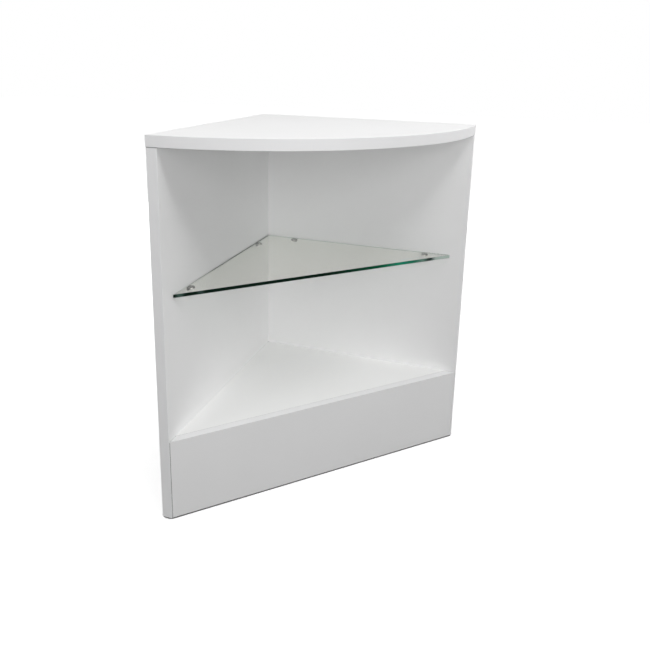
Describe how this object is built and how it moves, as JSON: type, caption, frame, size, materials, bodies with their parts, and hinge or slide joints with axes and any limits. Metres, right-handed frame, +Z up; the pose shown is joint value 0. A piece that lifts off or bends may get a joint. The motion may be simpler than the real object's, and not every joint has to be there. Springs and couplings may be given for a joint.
{
  "type": "corner display counter",
  "caption": "Open corner counter of white board with a quarter-round top, two upright sides at a right angle, a clear glass shelf, a deck and a diagonal kick board.",
  "frame": {"origin": "on the floor, at the middle of the square that the counter covers", "axes": "+Z up; the back side board closes the +Y side and the left side board the -X side, so the open front looks towards +X and -Y"},
  "size_m": [0.6, 0.6, 0.9],
  "materials": {
    "melamine_board": "white melamine facing, fine satin texture",
    "edge_band": "white ABS edge band, satin",
    "shelf_glass": "clear float glass with ground and polished green edges",
    "support_metal": "nickel-plated zinc die casting",
    "clear_pad": "clear soft plastic",
    "dowel_wood": "plain beech",
    "zinc_steel": "bright zinc-plated steel",
    "cam_zinc": "bare zinc die casting",
    "cap_plastic": "white cover cap, satin",
    "block_plastic": "white moulded plastic",
    "glide_plastic": "dark grey moulded plastic"
  },
  "bodies": {
    "carcass": {"left_panel": "melamine_board", "back_panel": "melamine_board", "top_panel": "melamine_board", "deck_panel": "melamine_board", "kick_panel": "melamine_board", "left_front_band": "edge_band", "left_rear_band": "edge_band", "back_end_band": "edge_band", "top_curved_band": "edge_band", "top_left_band": "edge_band", "top_back_band": "edge_band", "kick_top_band": "edge_band", "left_front_support": "support_metal", "left_rear_support": "support_metal", "back_front_support": "support_metal", "back_rear_support": "support_metal", "left_front_pad": "clear_pad", "left_rear_pad": "clear_pad", "back_front_pad": "clear_pad", "back_rear_pad": "clear_pad", "corner_screws": "zinc_steel", "corner_screw_caps": "cap_plastic", "corner_dowels": "dowel_wood", "top_cams": "cam_zinc", "top_cam_bolts": "zinc_steel", "top_cam_caps": "cap_plastic", "top_dowels": "dowel_wood", "deck_cams": "cam_zinc", "deck_cam_bolts": "zinc_steel", "deck_dowels": "dowel_wood", "kick_dowels": "dowel_wood", "corner_blocks": "block_plastic", "block_screws": "zinc_steel", "floor_glides": "glide_plastic", "glide_nails": "zinc_steel"},
    "shelf": {"glass_shelf": "shelf_glass"}
  },
  "joints": [
    {"name": "shelf_withdrawal", "type": "slide", "parent": "carcass", "child": "shelf", "axis": [0.7071, -0.7071, 0], "range_m": [0, 0.41]}
  ]
}
